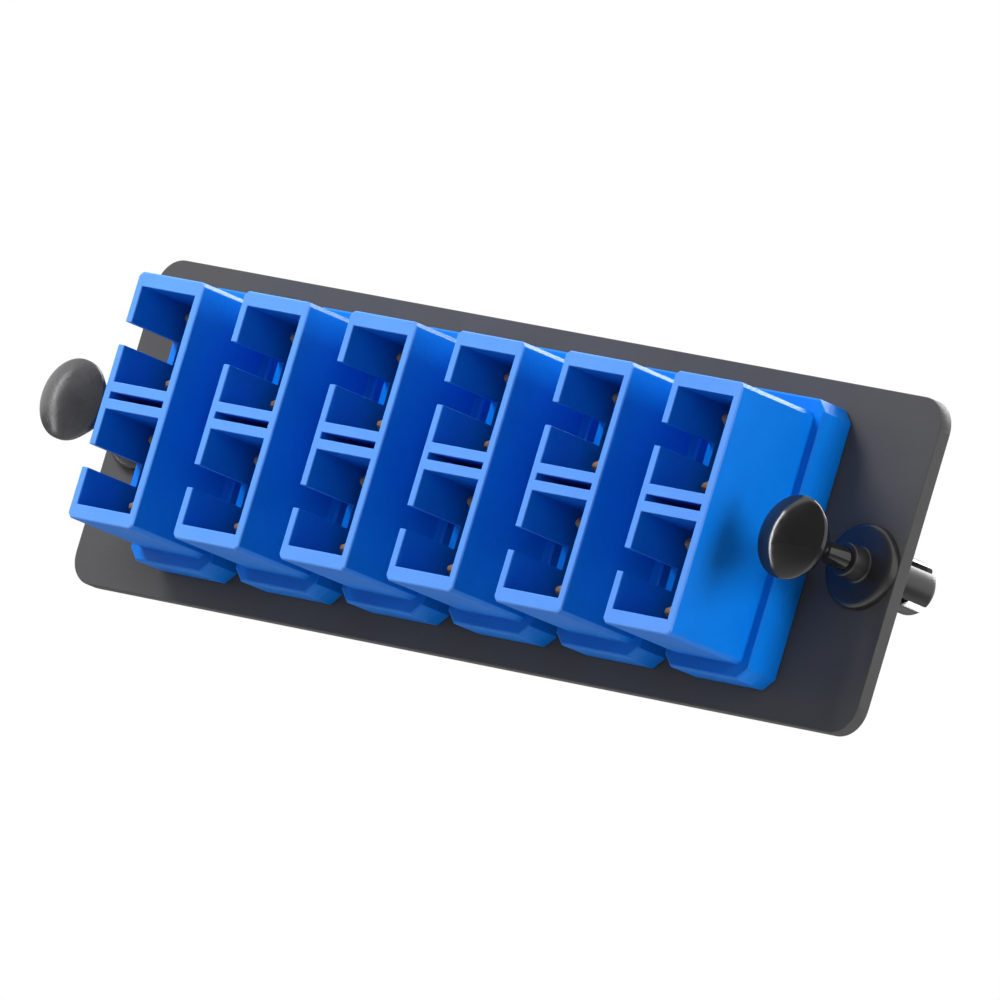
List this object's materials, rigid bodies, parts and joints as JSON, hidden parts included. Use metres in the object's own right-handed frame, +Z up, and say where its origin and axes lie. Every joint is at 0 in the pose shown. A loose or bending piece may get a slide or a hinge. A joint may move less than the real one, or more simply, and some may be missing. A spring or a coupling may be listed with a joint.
{
  "type": "fibre adapter plate",
  "caption": "Flat black plate carrying a row of blue duplex fibre adapters with keyed square ports, and a push-pull latch at each end.",
  "frame": {"origin": "centre of the plate's rear face, which bears on the frame it is fixed to", "axes": "+X along the plate to the right, +Y out of its back, +Z up across the plate; the user's side faces -Y"},
  "size_m": [0.108, 0.0261, 0.034],
  "materials": {
    "plate_coating": "satin black powder coat",
    "blue_plastic": "moulded, lightly grained, satin",
    "insert_plastic": "natural amber moulding",
    "spring_steel": "bright rolled strip",
    "sleeve_ceramic": "polished white ceramic",
    "grommet_nylon": "glossy black moulding",
    "plunger_nylon": "glossy black moulding"
  },
  "bodies": {
    "panel": {"plate": "plate_coating", "adapter_1_front_housing": "blue_plastic", "adapter_1_rear_housing": "blue_plastic", "adapter_1_front_insert": "insert_plastic", "adapter_1_rear_insert": "insert_plastic", "adapter_1_steel_clip": "spring_steel", "adapter_1_upper_sleeve": "sleeve_ceramic", "adapter_1_lower_sleeve": "sleeve_ceramic", "adapter_2_front_housing": "blue_plastic", "adapter_2_rear_housing": "blue_plastic", "adapter_2_front_insert": "insert_plastic", "adapter_2_rear_insert": "insert_plastic", "adapter_2_steel_clip": "spring_steel", "adapter_2_upper_sleeve": "sleeve_ceramic", "adapter_2_lower_sleeve": "sleeve_ceramic", "adapter_3_front_housing": "blue_plastic", "adapter_3_rear_housing": "blue_plastic", "adapter_3_front_insert": "insert_plastic", "adapter_3_rear_insert": "insert_plastic", "adapter_3_steel_clip": "spring_steel", "adapter_3_upper_sleeve": "sleeve_ceramic", "adapter_3_lower_sleeve": "sleeve_ceramic", "adapter_4_front_housing": "blue_plastic", "adapter_4_rear_housing": "blue_plastic", "adapter_4_front_insert": "insert_plastic", "adapter_4_rear_insert": "insert_plastic", "adapter_4_steel_clip": "spring_steel", "adapter_4_upper_sleeve": "sleeve_ceramic", "adapter_4_lower_sleeve": "sleeve_ceramic", "adapter_5_front_housing": "blue_plastic", "adapter_5_rear_housing": "blue_plastic", "adapter_5_front_insert": "insert_plastic", "adapter_5_rear_insert": "insert_plastic", "adapter_5_steel_clip": "spring_steel", "adapter_5_upper_sleeve": "sleeve_ceramic", "adapter_5_lower_sleeve": "sleeve_ceramic", "adapter_6_front_housing": "blue_plastic", "adapter_6_rear_housing": "blue_plastic", "adapter_6_front_insert": "insert_plastic", "adapter_6_rear_insert": "insert_plastic", "adapter_6_steel_clip": "spring_steel", "adapter_6_upper_sleeve": "sleeve_ceramic", "adapter_6_lower_sleeve": "sleeve_ceramic", "left_grommet": "grommet_nylon", "right_grommet": "grommet_nylon"},
    "left_latch": {"left_plunger": "plunger_nylon"},
    "right_latch": {"right_plunger": "plunger_nylon"}
  },
  "joints": [
    {"name": "left_latch_push", "type": "slide", "parent": "panel", "child": "left_latch", "axis": [0, 1, 0], "range_m": [0, 0.0033]},
    {"name": "right_latch_push", "type": "slide", "parent": "panel", "child": "right_latch", "axis": [0, 1, 0], "range_m": [0, 0.0033]}
  ]
}
